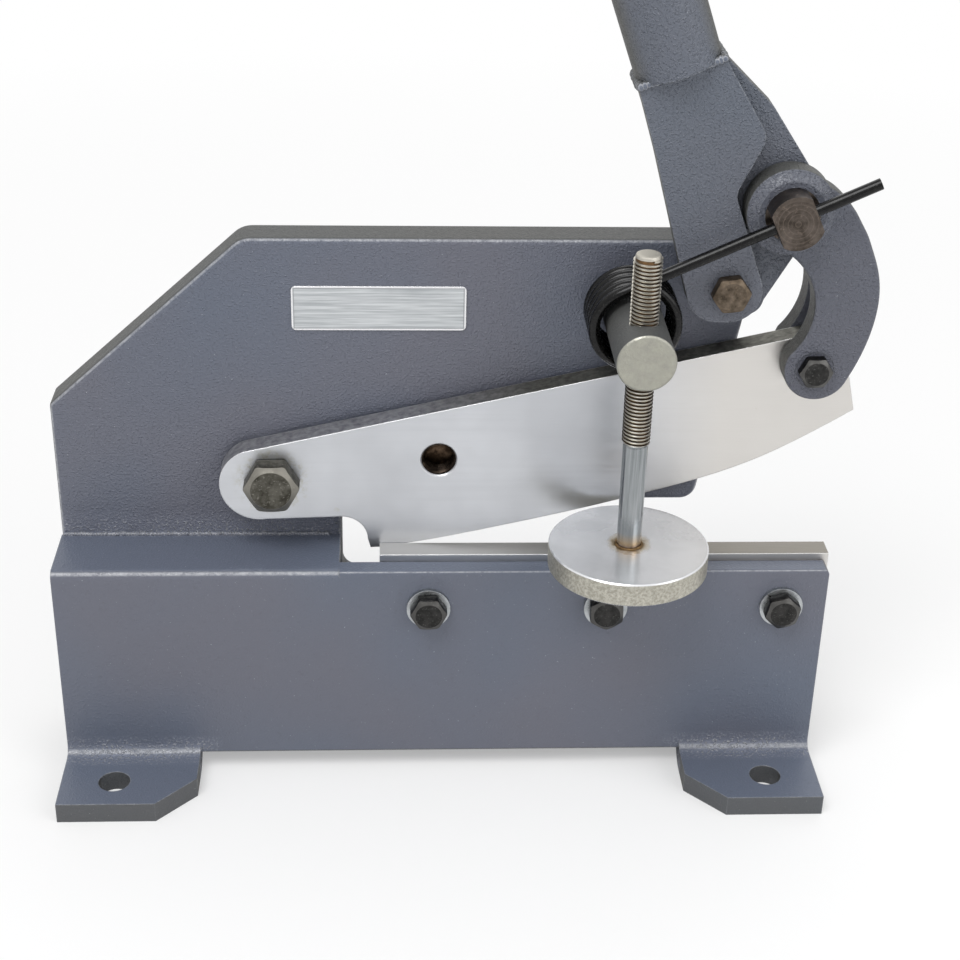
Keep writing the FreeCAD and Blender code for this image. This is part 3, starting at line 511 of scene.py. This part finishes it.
def makeDarkMetal(name, values):
    # Blackened, plated or oiled steel: cloudy metal with small lighter rubs
    patterns = {"cloud": (values["grain"] * 3, 4.0, 0.6), "fine": (values["grain"], 3.0, 0.65)}
    values = {"metallic": 1.0, "coat": (0.0, 0.16), "patterns": patterns, **values}
    material, shader, add, coords, clouds = newMaterial(name, values)
    height = clouds["fine"]
    coats = [((clouds["cloud"], 0.35, 0.65), values["low"]),
             ((clouds["fine"], 0.58, 0.72, 0.0, 0.6), values["spot"])]
    if "turnedAt" in values:
        # Rings that the lathe left on the pin's end
        parts = add("SeparateXYZ", (coords["Object"],)).node.outputs
        away = fromAxis(add, parts, "Y", values["turnedAt"])
        rings = add("TexNoise", {"Vector": add("CombineXYZ", (away,)), "Detail": 2.0,
                                 "Scale": 1.0 / (values["ringSize"] * mm), "Roughness": 0.6})
        coats.append(((rings, 0.5, 0.66, 0.0, 0.35), values["spot"]))
        height = add("Math", (height, rings), operation="ADD")
    if "wornAndHighlight" in values:
        # Handling and the spanner rub the turned chamfer of a head, which is painted lighter,
        # partly as a painted highlight
        normal = add("SeparateXYZ", (coords["Normal"],)).node.outputs
        facing = add("Math", (normal["Y"],), operation="ABSOLUTE")
        coats.append(((facing, 0.55, 0.75), (facing, 0.97, 0.92), values["wornAndHighlight"],
                      values["spot"]))
    rough = add("MapRange", (clouds["fine"], 0.3, 0.7, *values["roughness"]))
    relief(add, shader, height, 0.4, 0.06, 0.3)
    return finished(material, shader, layered(add, values["face"], coats), rough)


gripFinish = {"face": "#1c1c1d", "dust": "#39393a", "roughness": (0.49, 0.63),
              "patterns": {"dust": (14, 4.0, 0.65), "pebble": (0.9, 2.0, 0.55)}}


def makeGripRubber(values):
    # Moulded rubber: matt black with a faint pebble and dust in the ribs
    material, shader, add, _, clouds = newMaterial("mouldedRubberGrip", values)
    colour = layered(add, values["face"], [
        ((clouds["dust"], 0.5, 0.75, 0.0, 0.6), values["dust"])])
    rough = add("MapRange", (clouds["pebble"], 0.3, 0.7, *values["roughness"]))
    relief(add, shader, clouds["pebble"], 0.5, 0.12, 0.4)
    return finished(material, shader, colour, rough)


enamel = makeEnamel("slateStoveEnamel", enamelValues)
linkEnamel = makeEnamel("slateLinkEnamel", linkEnamelValues)
leverEnamel = makeEnamel("slateLeverEnamel", leverEnamelValues)
postEnamel = makeEnamel("slateEnamelBareEnd", enamelValues, bareEnd=True)
upperSteel = makeGround("groundBladeSteel", groundValues, (0, math.radians(14), 0),
                        stainAt=(-93.2, 173.9), holeAt=(-2.7, 186.8))
lowerSteel = makeGround("groundLowerBladeSteel", groundValues, (0, 0, 0), groundTop=True)
metals = {name: makeDarkMetal(name, values) for name, values in darkMetals.items()}
metals["rolledThreadSteel"] = makeScrewSteel(screwFinish)
discSteel = makeDiscSteel(discFinish)
plateSkin = makeNameplateSkin(plateFinish)
grip = makeGripRubber(gripFinish)
print("materials made")


# Small makers shared by the pieces


def finishPiece(name, mesh, material, body, replaced, sharpAt):
    # Keeps a finished mesh as a piece that rides on a body, smooth but for its real corners
    mesh.name = name
    mesh.materials.clear()
    mesh.materials.append(material)
    mesh.polygons.foreach_set("use_smooth", [True] * len(mesh.polygons))
    mesh.set_sharp_from_angle(angle=math.radians(sharpAt))
    piece = bpy.data.objects.new(name, mesh)
    collection.objects.link(piece)
    if replaced:
        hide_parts(*replaced)
    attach(piece, body)
    return piece


def skin(rings, capEnds=True):
    # Quads between rings with the same number of points, and a face over each end
    build = bmesh.new()
    rows = [[build.verts.new(p) for p in ring] for ring in rings]
    for first, second in zip(rows, rows[1:]):
        for i in range(len(first)):
            j = (i + 1) % len(first)
            build.faces.new((first[i], first[j], second[j], second[i]))
    if capEnds:
        build.faces.new(list(reversed(rows[0])))
        build.faces.new(rows[-1])
    return build


def joined(builds):
    # One mesh from several bmesh or mesh pieces
    whole = bmesh.new()
    for build in builds:
        if isinstance(build, bmesh.types.BMesh):
            mesh = bpy.data.meshes.new("part")
            bmesh.ops.recalc_face_normals(build, faces=build.faces[:])
            build.to_mesh(mesh)
            build.free()
        else:
            mesh = build
        whole.from_mesh(mesh)
        bpy.data.meshes.remove(mesh)
    mesh = bpy.data.meshes.new("part")
    whole.to_mesh(mesh)
    whole.free()
    return mesh


def ringPoint(centre, radius, far, degrees, along="Y"):
    # A point in mm at an angle round a line along Y or Z
    a = math.radians(degrees)
    x, other = centre[0] + radius * math.cos(a), centre[1] + radius * math.sin(a)
    return (x, far, other) if along == "Y" else (x, other, far)


def turned(profile, place, steps, along):
    # A turned shape: profile is (radius, distance along the axis) in mm
    return skin([[point(*ringPoint(place, radius, far, 360 * i / steps, along))
                  for i in range(steps)] for radius, far in profile])


def newTree(name, inputs):
    # A Geometry Nodes tree with named inputs, what adds nodes to it, and its inputs' outputs
    tree = bpy.data.node_groups.new(name, "GeometryNodeTree")
    for label, kind in {"Geometry": "Geometry", **inputs, "Material": "Material"}.items():
        tree.interface.new_socket(name=label, in_out="INPUT", socket_type="NodeSocket" + kind)
    tree.interface.new_socket(name="Geometry", in_out="OUTPUT", socket_type="NodeSocketGeometry")
    add = nodeAdder(tree)
    return tree, add, add("NodeGroupInput").node.outputs


def endTree(tree, add, geometry, inputs):
    whole = add("GeometryNodeRealizeInstances", (geometry,))
    painted = add("GeometryNodeSetMaterial", {"Geometry": whole, "Material": inputs["Material"]})
    add("NodeGroupOutput", (painted,))
    return tree


def grown(tree, values, path=((0, 0, 0),)):
    # Runs a tree on a path of points in mm and gives the result as a plain mesh
    source = bpy.data.meshes.new("path")
    source.from_pydata([point(*p) for p in path], [(i, i + 1) for i in range(len(path) - 1)], [])
    holder = bpy.data.objects.new("path", source)
    collection.objects.link(holder)
    modifier = holder.modifiers.new("grow", "NODES")
    modifier.node_group = tree
    for item in tree.interface.items_tree:
        if item.in_out == "INPUT" and item.name in values:
            modifier[item.identifier] = values[item.name]
    graph = bpy.context.evaluated_depsgraph_get()
    mesh = bpy.data.meshes.new_from_object(holder.evaluated_get(graph))
    holder.modifiers.clear()
    bpy.data.objects.remove(holder)
    bpy.data.meshes.remove(source)
    return mesh


def threadTree():
    # A rolled thread: a trapezium swept along a helix that climbs its Z axis. Inward turns
    # the trapezium, so that half a turn points its crest at the axis.
    tree, add, inputs = newTree("rolledThread", {
        "Radius": "Float", "Pitch": "Float", "Depth": "Float", "Turns": "Float",
        "Crest": "Float", "Root": "Float", "Steps": "Int", "Inward": "Float"})
    height, rootWidth, crestWidth = [
        add("ShaderNodeMath", (inputs["Pitch"], inputs[share]), operation="MULTIPLY")
        for share in ("Turns", "Root", "Crest")]
    half = add("ShaderNodeMath", (inputs["Depth"], 0.5), operation="MULTIPLY")
    middle = add("ShaderNodeMath", (inputs["Radius"], half), operation="SUBTRACT")
    spiral = add("GeometryNodeCurveSpiral", {
        "Resolution": inputs["Steps"], "Rotations": inputs["Turns"], "Start Radius": middle,
        "End Radius": middle, "Height": height})
    upright = add("GeometryNodeSetCurveNormal", {"Curve": spiral}, mode="Z_UP")
    ridge = add("GeometryNodeCurvePrimitiveQuadrilateral", {
        "Height": inputs["Depth"], "Bottom Width": rootWidth, "Top Width": crestWidth,
        "Offset": 0.0}, mode="TRAPEZOID")
    turn = add("ShaderNodeCombineXYZ", {"Z": inputs["Inward"]})
    turnedRidge = add("GeometryNodeTransform", {"Geometry": ridge, "Rotation": turn})
    swept = add("GeometryNodeCurveToMesh", {"Curve": upright, "Profile Curve": turnedRidge,
                                            "Fill Caps": True})
    return endTree(tree, add, swept, inputs)


def weldTree():
    # Overlapping ripples of a hand-laid bead, each a flattened drop across the path
    tree, add, inputs = newTree("weldBead", {"Ripple": "Float", "Width": "Float", "Seed": "Int"})
    path = add("GeometryNodeMeshToCurve", {"Mesh": inputs["Geometry"]})
    even = add("GeometryNodeResampleCurve", {"Curve": path, "Length": inputs["Ripple"]},
               mode="LENGTH")
    aim = add("FunctionNodeAlignRotationToVector", {"Vector": add("GeometryNodeInputTangent")},
              axis="X")
    drop = add("GeometryNodeMeshUVSphere", {"Segments": 12, "Rings": 7, "Radius": inputs["Width"]})
    size = add("FunctionNodeRandomValue", {0: (0.75, 0.86, 0.86), 1: (0.95, 1.08, 1.08),
                                           "Seed": inputs["Seed"]}, data_type="FLOAT_VECTOR")
    drops = add("GeometryNodeInstanceOnPoints", {"Points": even, "Instance": drop,
                                                 "Rotation": aim, "Scale": size})
    return endTree(tree, add, drops, inputs)


def wireTree():
    # Round wire along a path, for the spring
    tree, add, inputs = newTree("roundWire", {"Wire": "Float", "Sides": "Int"})
    path = add("GeometryNodeMeshToCurve", {"Mesh": inputs["Geometry"]})
    ring = add("GeometryNodeCurvePrimitiveCircle", {"Resolution": inputs["Sides"],
                                                    "Radius": inputs["Wire"]}, mode="RADIUS")
    swept = add("GeometryNodeCurveToMesh", {"Curve": path, "Profile Curve": ring,
                                            "Fill Caps": True})
    return endTree(tree, add, swept, inputs)


def ribTree():
    # Rings of a moulded grip, set along a straight path
    tree, add, inputs = newTree("gripRibs", {"Radius": "Float", "Rib": "Float",
                                             "Spacing": "Float"})
    path = add("GeometryNodeMeshToCurve", {"Mesh": inputs["Geometry"]})
    even = add("GeometryNodeResampleCurve", {"Curve": path, "Length": inputs["Spacing"]},
               mode="LENGTH")
    aim = add("FunctionNodeAlignRotationToVector", {"Vector": add("GeometryNodeInputTangent")},
              axis="Z")
    hoop, section = [add("GeometryNodeCurvePrimitiveCircle", {"Resolution": sides,
                                                              "Radius": inputs[radius]},
                         mode="RADIUS") for sides, radius in ((56, "Radius"), (10, "Rib"))]
    ring = add("GeometryNodeCurveToMesh", {"Curve": hoop, "Profile Curve": section})
    rings = add("GeometryNodeInstanceOnPoints", {"Points": even, "Instance": ring,
                                                 "Rotation": aim})
    return endTree(tree, add, rings, inputs)


thread, weld, wire, ribs = threadTree(), weldTree(), wireTree(), ribTree()
print("node trees made")


# Bolts and nuts

bladeBolts = {1: (-8.2, 2), 2: (89.5, 31), 3: (187.2, 17)}   # number: centre x and turn
boltValues = {
    # node: body, centre x and z, width across flats, head front and seat, shank radius,
    # shank end, pitch, start of thread or none, turn of the head in degrees, metal
    **{f"blade_bolt_{number}": ("frame", (x, 108.7), 18, 16.8, 24.3, 6, 51.0, 1.75, None, turn,
                                "blackOxideSteel") for number, (x, turn) in bladeBolts.items()},
    "blade_pivot_bolt": ("frame", (-93.2, 173.9), 27, 40.4, 51.9, 9, 108.2, 2.5, 89.0, 1,
                         "phosphatedSteel"),
    "lever_bolt": ("frame", (145.5, 290.0), 18, 32.9, 40.4, 7, 104.6, 2.0, 89.0, 7,
                   "rustedBlackSteel"),
    "link_bolt": ("link", (193.5, 247.0), 16, 32.0, 38.4, 5, 94.5, 1.5, 82.5, 2,
                  "blackOxideSteel"),
}
nutValues = {
    # node: body, centre, width across flats, near face, far face, bore radius, turn, metal
    "blade_pivot_nut": ("frame", (-93.2, 173.9), 27, 89.0, 105.2, 9.05, 8, "blackOxideSteel"),
    "lever_nut": ("frame", (145.5, 290.0), 18, 89.0, 101.6, 7.05, 22, "blackOxideSteel"),
    "link_nut": ("link", (193.5, 247.0), 16, 82.5, 91.5, 5.05, 12, "blackOxideSteel"),
}
hexValues = {"steps": 96, "crown": 0.84, "cornerCut": 0.975, "edge": 0.35, "face": 0.94}


def hexRadius(acrossFlats, degrees):
    spread = math.radians((degrees % 60) - 30)
    corner = acrossFlats / math.sqrt(3)
    return min(acrossFlats / 2 / math.cos(spread), corner * hexValues["cornerCut"])


def hexSides(place, acrossFlats, crownY, seatY, turn):
    # Rings of a hexagon whose corners are turned off at 30 degrees at crownY
    outward = 1 if seatY > crownY else -1
    crownR = acrossFlats / 2 * hexValues["crown"]
    edge = hexValues["edge"]
    rings = [[] for _ in range(7)]
    for i in range(hexValues["steps"]):
        degrees = 360 * i / hexValues["steps"]
        side = hexRadius(acrossFlats, degrees)
        slope = (side - crownR) * math.tan(math.radians(30))
        faceR = acrossFlats / 2 * hexValues["face"]
        stations = [(crownR - 1.6 * edge, crownY), (crownR - edge * 0.6, crownY + outward * 0.06),
                    (crownR, crownY + outward * 0.22),
                    (side - edge * 0.5, crownY + outward * max(slope, 0.30)),
                    (side, crownY + outward * (max(slope, 0.30) + edge)),
                    (side, seatY - outward * 0.5), (faceR, seatY - outward * 0.45)]
        for ring, (radius, y) in zip(rings, stations):
            ring.append(point(*ringPoint(place, radius, y, degrees + turn)))
    return rings


def ringAt(place, radius, y, turn):
    steps = hexValues["steps"]
    return [point(*ringPoint(place, radius, y, 360 * i / steps + turn)) for i in range(steps)]


def threadRun(place, endY, values):
    # The thread climbs Z, so it is turned to run along Y and set in place
    mesh = grown(thread, values)
    mesh.transform(Matrix.Translation(point(place[0], endY, place[1]))
                   @ Matrix.Rotation(math.radians(90), 4, "X"))
    return mesh


def makeBolt(node, values):
    body, place, flats, frontY, seatY, shankR, endY, pitch, threadY, turn, metal = values
    rings = hexSides(place, flats, frontY, seatY, turn)
    rings.insert(0, ringAt(place, flats * 0.2, frontY + 0.05, turn))
    rings.append(ringAt(place, flats / 2 * hexValues["face"], seatY, turn))
    rings.append(ringAt(place, shankR, seatY, turn))
    builds = []
    if threadY is None:
        rings.append(ringAt(place, shankR, endY, turn))
    else:
        core = shankR - pitch * 0.55
        rings += [ringAt(place, shankR, threadY - 0.1, turn),
                  ringAt(place, core, threadY + pitch * 0.3, turn),
                  ringAt(place, core, endY - 0.3, turn),
                  ringAt(place, core - 0.8, endY, turn)]
        builds.append(threadRun(place, endY - pitch * 0.45, {
            "Radius": shankR * mm, "Pitch": pitch * mm, "Depth": pitch * 0.6 * mm,
            "Turns": (endY - threadY) / pitch - 0.9, "Crest": 0.16, "Root": 0.94, "Steps": 28,
            "Material": metals[metal]}))
    mesh = joined([skin(rings)] + builds)
    return finishPiece(node.replace("_", "") + "Detail", mesh, metals[metal], body, (node,), 28)


def makeNut(node, values):
    body, place, flats, nearY, farY, boreR, turn, metal = values
    middle = (nearY + farY) / 2
    back = hexSides(place, flats, farY, middle, turn)
    front = hexSides(place, flats, nearY, middle, turn)
    rings = [ringAt(place, boreR, nearY + 0.8, turn), ringAt(place, boreR + 0.8, nearY, turn)]
    rings += front[:5] + list(reversed(back[:5]))
    rings += [ringAt(place, boreR + 0.8, farY, turn), ringAt(place, boreR, farY - 0.8, turn)]
    rings.append(rings[0])
    mesh = joined([skin(rings, False)])
    return finishPiece(node.replace("_", "") + "Detail", mesh, metals[metal], body, (node,), 28)


for node, values in boltValues.items():
    makeBolt(node, values)
for node, values in nutValues.items():
    makeNut(node, values)
print("bolts and nuts made")


# Hold-down screw and the thread in the blade's hole

screwValues = {
    "place": (96.5, 4.0), "top": 325.0, "discTop": 162.0, "radius": 7.0, "pitch": 2.0,
    "threadFrom": 222.0, "shankRadius": 6.5, "endChamfer": 1.6, "tipPlain": 2.6,
}
holeValues = {"place": (-2.7, 186.8), "radius": 9.5, "pitch": 2.0, "depth": 0.9,
              "startY": 53.2, "endY": 62.8}


def makeHoldDownScrew(values):
    x, y = values["place"]
    top, major, pitch = values["top"], values["radius"], values["pitch"]
    core = major - 0.6 * pitch
    start, tip = values["threadFrom"], top - values["tipPlain"]
    shank = values["shankRadius"]
    profile = [(shank, values["discTop"]), (shank, start - 1.5), (shank - 0.2, start - 0.8),
               (core, start + pitch * 0.4), (core, tip), (major - 0.55, tip + pitch * 0.2),
               (major - 0.55, top - values["endChamfer"]), (major - 1.0, top - 0.55),
               (major - 1.9, top - 0.12), (major - 3.0, top)]
    ridge = grown(thread, {"Radius": major * mm, "Pitch": pitch * mm, "Depth": 0.6 * pitch * mm,
                           "Turns": (tip - start) / pitch, "Crest": 0.4, "Root": 0.96,
                           "Steps": 40, "Material": metals["rolledThreadSteel"]})
    ridge.transform(Matrix.Translation(point(x, y, start)))
    mesh = joined([turned(profile, (x, y), 64, "Z"), ridge])
    return finishPiece("holdDownScrew", mesh, metals["rolledThreadSteel"], "hold_down",
                       ("hold_down_rod",), 30)


def makeBladeHoleThread(values):
    # The blade's spare hole is tapped; only the first turns catch the light
    ridge = threadRun(values["place"], values["endY"], {
        "Radius": values["radius"] * mm, "Pitch": values["pitch"] * mm,
        "Depth": values["depth"] * mm, "Crest": 0.25, "Root": 0.9, "Steps": 48,
        "Turns": (values["endY"] - values["startY"]) / values["pitch"], "Inward": math.pi,
        "Material": metals["oiledHoleSteelShaded"]})
    return finishPiece("bladeHoleThread", ridge, metals["oiledHoleSteelShaded"], "blade", (), 30)


makeHoldDownScrew(screwValues)
makeBladeHoleThread(holeValues)
print("hold-down screw made")


# Return spring: close coil of hard-drawn wire, with its leg turning on the coil's own line

springValues = {
    "centre": (96.5, 274.3), "coilRadius": 21.5, "wire": 3.0, "pitch": 6.6, "turns": 4.5,
    "frontY": 28.8, "legY": 28.0, "pin": (172.4, 333.5), "beyondPin": 45.0,
    "tailTo": 79.0, "overlapTurn": 50.0, "sides": 20, "arcSteps": 10, "coilStep": 6,
}


def makeSpring(values):
    cx, cz = values["centre"]
    coilR = values["coilRadius"]
    dx, dz = values["pin"][0] - cx, values["pin"][1] - cz
    legAngle = math.atan2(dz, dx) - math.asin(coilR / math.hypot(dx, dz))
    front = legAngle + math.pi / 2

    def onCoil(angle):
        y = values["frontY"] + values["pitch"] * (angle - front) / (2 * math.pi)
        return (cx + coilR * math.cos(angle), y, cz + coilR * math.sin(angle))

    last = front + 2 * math.pi * values["turns"]
    steps = round((last - front) / math.radians(values["coilStep"]))
    path = [onCoil(front + (last - front) * i / steps) for i in range(steps + 1)]
    endX, endY, endZ = path[-1]
    path += [(endX, endY + 1.2, endZ), (endX, endY + 4, endZ), (endX, values["tailTo"], endZ)]
    settings = {"Wire": values["wire"] * mm, "Sides": values["sides"],
                "Material": metals["springWire"]}
    coil = grown(wire, settings, path)
    finishPiece("springCoilWire", coil, metals["springWire"], "frame", ("spring_coil",), 40)

    # The leg leaves the coil on a tangent, after a short arc that stays on the coil's line
    along = (math.cos(legAngle), math.sin(legAngle))
    sweep = math.radians(values["overlapTurn"])
    path = []
    for i in range(values["arcSteps"] + 1):
        part = i / values["arcSteps"]
        x, y, z = onCoil(front + sweep * (1 - part))
        path.append((x, values["legY"] * part ** 2 + y * (1 - part ** 2), z))
    startX, startZ = path[-1][0], path[-1][2]
    reach = ((values["pin"][0] - startX) * along[0] + (values["pin"][1] - startZ) * along[1]
             + values["beyondPin"])
    for far in (2.0, 8.0, reach * 0.5, reach):
        path.append((startX + along[0] * far, values["legY"], startZ + along[1] * far))
    leg = grown(wire, settings, path)
    finishPiece("springLegWire", leg, metals["springWire"], "leg", ("spring_leg",), 40)


makeSpring(springValues)
print("spring made")


# Handle grip

gripValues = {
    "base": (128.0, 360.0), "lean": 20.0, "centreY": 53.25, "from": 351.0, "to": 487.0,
    "radius": 20.2, "tubeRadius": 17.3, "rib": 1.1, "spacing": 7.0, "steps": 64,
}


def makeGrip(values):
    lean = math.radians(values["lean"])
    up = Vector((-math.sin(lean), 0, math.cos(lean)))
    base = Vector((values["base"][0], values["centreY"], values["base"][1]))
    across = Vector((math.cos(lean), 0, math.sin(lean)))
    deep = Vector((0, 1, 0))
    start, end = values["from"], values["to"]
    big, small = values["radius"], values["tubeRadius"]
    profile = [(small + 0.05, start + 0.2), (big + 1.2, start), (big + 1.9, start + 1.0),
               (big + 1.9, start + 4.0), (big + 0.6, start + 5.5), (big - 0.6, start + 8),
               (big - 0.6, end - 14), (big + 0.2, end - 10), (big + 0.9, end - 6),
               (big + 0.2, end - 2.6), (big - 1.6, end - 0.7), (big - 4.2, end - 0.05),
               (big * 0.4, end)]
    turns = [2 * math.pi * i / values["steps"] for i in range(values["steps"])]
    rings = [[(base + up * far + (across * math.cos(a) + deep * math.sin(a)) * radius) * mm
              for a in turns] for radius, far in profile]
    ribRings = grown(ribs, {"Radius": (big - 0.6) * mm, "Rib": values["rib"] * mm,
                            "Spacing": values["spacing"] * mm, "Material": grip},
                     [tuple(base + up * (start + 12)), tuple(base + up * (end - 16))])
    mesh = joined([skin(rings), ribRings])
    return finishPiece("ribbedGrip", mesh, grip, "lever", ("handle_grip",), 40)


makeGrip(gripValues)
print("grip made")


# Welds, laid along the joints that the plates leave

def roundPath(centre, radius, far, steps, along):
    return [ringPoint(centre, radius, far, 360 * i / steps, along) for i in range(steps + 1)]


socketValues = {
    # How far up the lever's lean the socket stands, and its outline as across the lean and y
    "base": (128.0, 360.0), "lean": 20.0, "foot": 46.3,
    "outline": [(-21.0, 40.3), (21.0, 40.3), (21.6, 41.0), (21.6, 65.6), (21.0, 66.2),
                (-21.0, 66.2), (-21.6, 65.6), (-21.6, 41.0), (-21.0, 40.3)],
}


def socketPath(values):
    # Round the lever's two plates where the socket stands on them
    lean, foot = math.radians(values["lean"]), values["foot"]
    x = values["base"][0] - math.sin(lean) * foot
    z = values["base"][1] + math.cos(lean) * foot
    return [(x + math.cos(lean) * c, y, z + math.sin(lean) * c) for c, y in values["outline"]]


weldValues = {
    # name: body, finish, bead radius, ripple spacing, seed, path in mm
    "ledgeWeld": ("frame", enamel, 1.5, 1.5, 3, [(-210.5, 68.6, 131.6), (-64.5, 68.6, 131.6)]),
    "footWeldFront": ("frame", enamel, 2.6, 2.3, 5, [(-208, 69.2, 12.2), (208, 69.2, 12.2)]),
    "footWeldBack": ("frame", enamel, 3.2, 2.6, 7, [(-208, 89.2, 12.4), (208, 89.2, 12.4)]),
    "tieWeldLeft": ("frame", enamel, 2.8, 2.4, 9, [
        (-152.3, 39.4, 25), (-152.3, 39.4, 63), (-152.3, 39.4, 64), (-201, 39.4, 64.2)]),
    "tieWeldLeftBack": ("frame", enamel, 2.8, 2.4, 10, [
        (-152.3, 68.6, 25), (-152.3, 68.6, 64), (-201, 68.6, 64.2)]),
    "tieWeldRight": ("frame", enamel, 2.8, 2.4, 11, [
        (152.3, 39.4, 25), (152.3, 39.4, 64.2), (201, 39.4, 64.2)]),
    "tieWeldRightBack": ("frame", enamel, 2.8, 2.4, 12, [
        (152.3, 68.6, 25), (152.3, 68.6, 64.2), (201, 68.6, 64.2)]),
    "socketWeld": ("lever", enamel, 2.2, 2.0, 15, socketPath(socketValues)),
    "postWeld": ("frame", enamel, 1.8, 1.7, 17, roundPath((96.5, 274.3), 15.6, 68.3, 60, "Y")),
    "discWeld": ("hold_down", metals["heatTintedSteel"], 0.8, 0.8, 19,
                 roundPath((96.5, 4.0), 6.8, 162.1, 40, "Z")),
}


def makeWeld(name, values):
    body, finish, radius, ripple, seed, path = values
    mesh = grown(weld, {"Ripple": ripple * mm, "Width": radius * mm, "Seed": seed,
                        "Material": finish}, path)
    return finishPiece(name, mesh, finish, body, (), 60)


for name, values in weldValues.items():
    makeWeld(name, values)
print("welds made")


# Finishes of the solids that stay as they are

def dress(names, material):
    for name in names:
        slots = nodes[name].data.materials
        slots.clear()
        slots.append(material)


dress(["front_plate", "rear_plate", "rear_foot", "tie_block_left", "tie_block_right"], enamel)
dress(["crank_plate", "handle_plate", "handle_socket", "handle_tube"], leverEnamel)
dress(["link_front", "link_rear"], linkEnamel)
dress(["hold_down_post"], postEnamel)
dress(["upper_blade"], upperSteel)
dress(["lower_blade"], lowerSteel)
dress(["socket_screw"], metals["blackOxideSteel"])
dress(["crank_pin"], metals["oiledPinSteel"])
dress(["blade_washer_1", "blade_washer_2", "blade_washer_3", "blade_pivot_washer",
       "lever_washer", "link_washer"], metals["zincPlatedSteel"])
dress(["pressure_disc"], discSteel)
dress(["nameplate"], plateSkin)
print("solids dressed")
